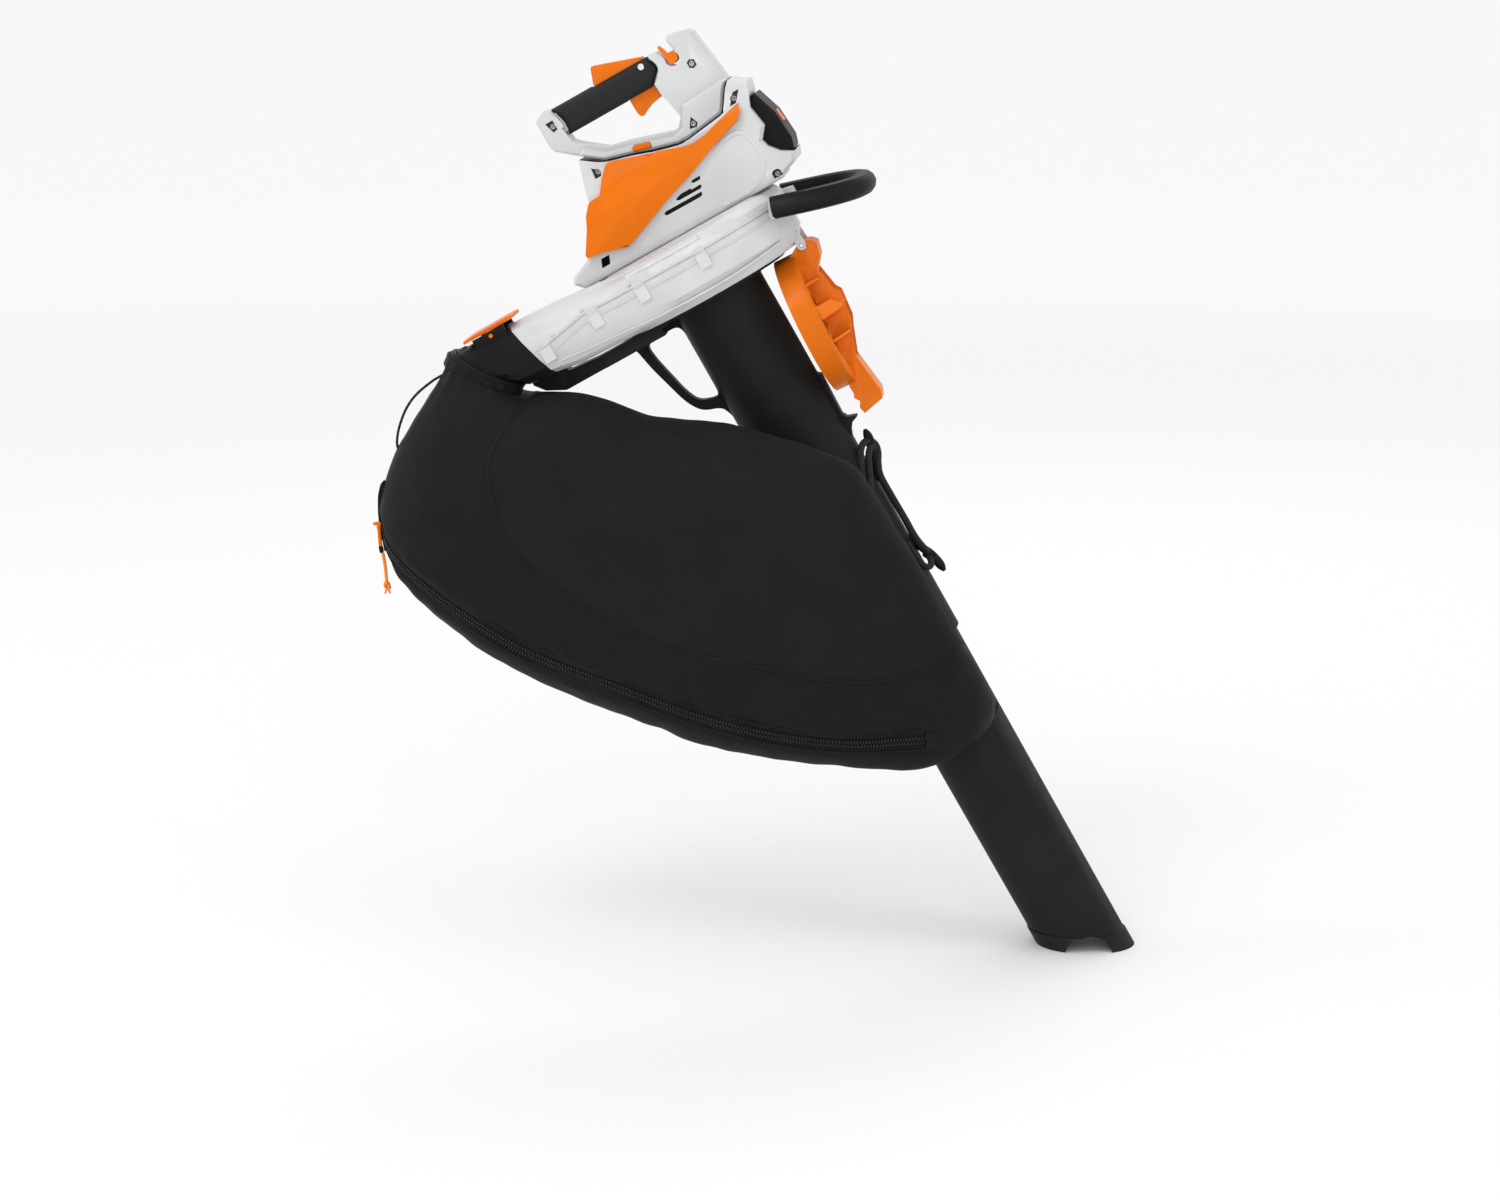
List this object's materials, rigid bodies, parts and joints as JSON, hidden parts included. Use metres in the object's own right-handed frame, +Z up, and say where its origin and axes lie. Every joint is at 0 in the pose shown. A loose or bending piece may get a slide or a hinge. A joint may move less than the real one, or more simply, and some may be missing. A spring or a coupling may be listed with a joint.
{
  "type": "leaf vacuum mulcher",
  "caption": "Cordless garden vacuum that lifts leaves up a long slanted tube, shreds them with its fan and blows them into a fabric collecting bag.",
  "frame": {"origin": "the middle of the hand grip on top of the machine, on its left-right middle plane", "axes": "+Z up as the machine leans in use with its foot on the ground; +X forward, from the outlet towards the bow handle and tube foot; +Y to the machine's left, and the bag hangs on the -Y side"},
  "size_m": [0.9028, 0.331, 1.0951],
  "materials": {
    "white_plastic": "satin moulded white",
    "orange_plastic": "satin moulded orange",
    "orange_cord": "braided cord",
    "black_plastic": "fine matt grain",
    "grip_rubber": "matt soft touch",
    "bag_fabric": "woven polyester",
    "bright_steel": "bright",
    "circuit_board": "lacquered board",
    "copper_winding": "wound copper on steel"
  },
  "bodies": {
    "machine": {"handle_shell_right": "white_plastic", "handle_shell_left": "white_plastic", "motor_housing_right": "white_plastic", "motor_housing_left": "white_plastic", "fan_housing_lower": "white_plastic", "fan_housing_upper": "white_plastic", "side_panel_right": "orange_plastic", "side_panel_left": "orange_plastic", "elbow_latch_pin": "orange_plastic", "switch_module": "black_plastic", "battery_terminals": "black_plastic", "suction_tube_upper": "black_plastic", "suction_tube_lower": "black_plastic", "support_arm": "black_plastic", "outlet_elbow": "black_plastic", "hook_upper": "black_plastic", "hook_lower": "black_plastic", "bag_neck_ring": "black_plastic", "bag_zipper": "black_plastic", "grip_sleeve": "grip_rubber", "bow_handle": "grip_rubber", "bag_body": "bag_fabric", "bag_webbing": "bag_fabric", "bag_loop_cord": "bag_fabric", "hook_cord": "bag_fabric", "grip_pin": "bright_steel", "speed_lever_pin": "bright_steel", "trigger_spring": "bright_steel", "screw_handle_front": "bright_steel", "screw_handle_rear": "bright_steel", "screw_handle_base": "bright_steel", "screw_housing_front": "bright_steel", "screw_housing_rear": "bright_steel", "screw_housing_low": "bright_steel", "shaft_bearing_lower": "bright_steel", "shaft_bearing_upper": "bright_steel", "bow_screw_right": "bright_steel", "bow_screw_left": "bright_steel", "guard_hinge_pin": "bright_steel", "motor_can": "bright_steel", "control_board": "circuit_board"},
    "fan": {"fan_impeller": "black_plastic", "shredder_blade": "bright_steel", "fan_nut": "bright_steel", "motor_shaft": "bright_steel", "motor_rotor": "copper_winding"},
    "trigger": {"trigger": "orange_plastic"},
    "lockout": {"lockout_lever": "orange_plastic"},
    "speed": {"speed_lever": "orange_plastic"},
    "button": {"release_button": "orange_plastic"},
    "battery": {"battery_pack": "black_plastic"},
    "battery_latch": {"battery_latch": "orange_plastic"},
    "guard": {"intake_guard": "orange_plastic"},
    "elbow_latch": {"elbow_latch": "orange_plastic"},
    "zip": {"zip_slider": "black_plastic", "zip_pull_tab": "orange_plastic", "zip_pull_cord": "orange_cord", "zip_pull_knot": "orange_cord"}
  },
  "joints": [
    {"name": "fan_spin", "type": "hinge", "parent": "machine", "child": "fan", "pos_m": [0.13302, 0, -0.24072], "axis": [-0.4932, 0, 0.8699], "continuous": true},
    {"name": "trigger_pull", "type": "hinge", "parent": "machine", "child": "trigger", "pos_m": [0.04571, 0, 0.0167], "axis": [0, 1, 0], "range_deg": [0, 10], "stiffness_Nm_per_rad": 0.5, "springref_deg": -17.19, "deforming": ["trigger_spring"]},
    {"name": "lockout_press", "type": "hinge", "parent": "machine", "child": "lockout", "pos_m": [0.04013, 0, 0.03262], "axis": [0, -1, 0], "range_deg": [0, 8], "stiffness_Nm_per_rad": 0.4, "springref_deg": -17.19},
    {"name": "speed_set", "type": "hinge", "parent": "machine", "child": "speed", "pos_m": [0.0768, 0, 0.04295], "axis": [0, 1, 0], "range_deg": [0, 12]},
    {"name": "release_press", "type": "slide", "parent": "machine", "child": "button", "axis": [0, 1, 0], "range_m": [0, 0.003], "stiffness_N_per_m": 600, "springref_m": -0.003},
    {"name": "battery_slide", "type": "slide", "parent": "machine", "child": "battery", "axis": [0.7832, 0, 0.6218], "range_m": [0, 0.1]},
    {"name": "battery_latch_press", "type": "slide", "parent": "battery", "child": "battery_latch", "axis": [-0.8699, 0, -0.4932], "range_m": [0, 0.002], "stiffness_N_per_m": 800, "springref_m": -0.002},
    {"name": "guard_swing", "type": "hinge", "parent": "machine", "child": "guard", "pos_m": [0.22888, 0, -0.17258], "axis": [0, -1, 0], "range_deg": [0, 45]},
    {"name": "elbow_latch_rock", "type": "hinge", "parent": "machine", "child": "elbow_latch", "pos_m": [-0.1253, -0.084, -0.27049], "axis": [0, -1, 0], "range_deg": [0, 8], "stiffness_Nm_per_rad": 0.5, "springref_deg": -17.19},
    {"name": "zip_slide", "type": "slide", "parent": "machine", "child": "zip", "axis": [0.188, 0, -0.9822], "range_m": [0, 0.02]}
  ]
}
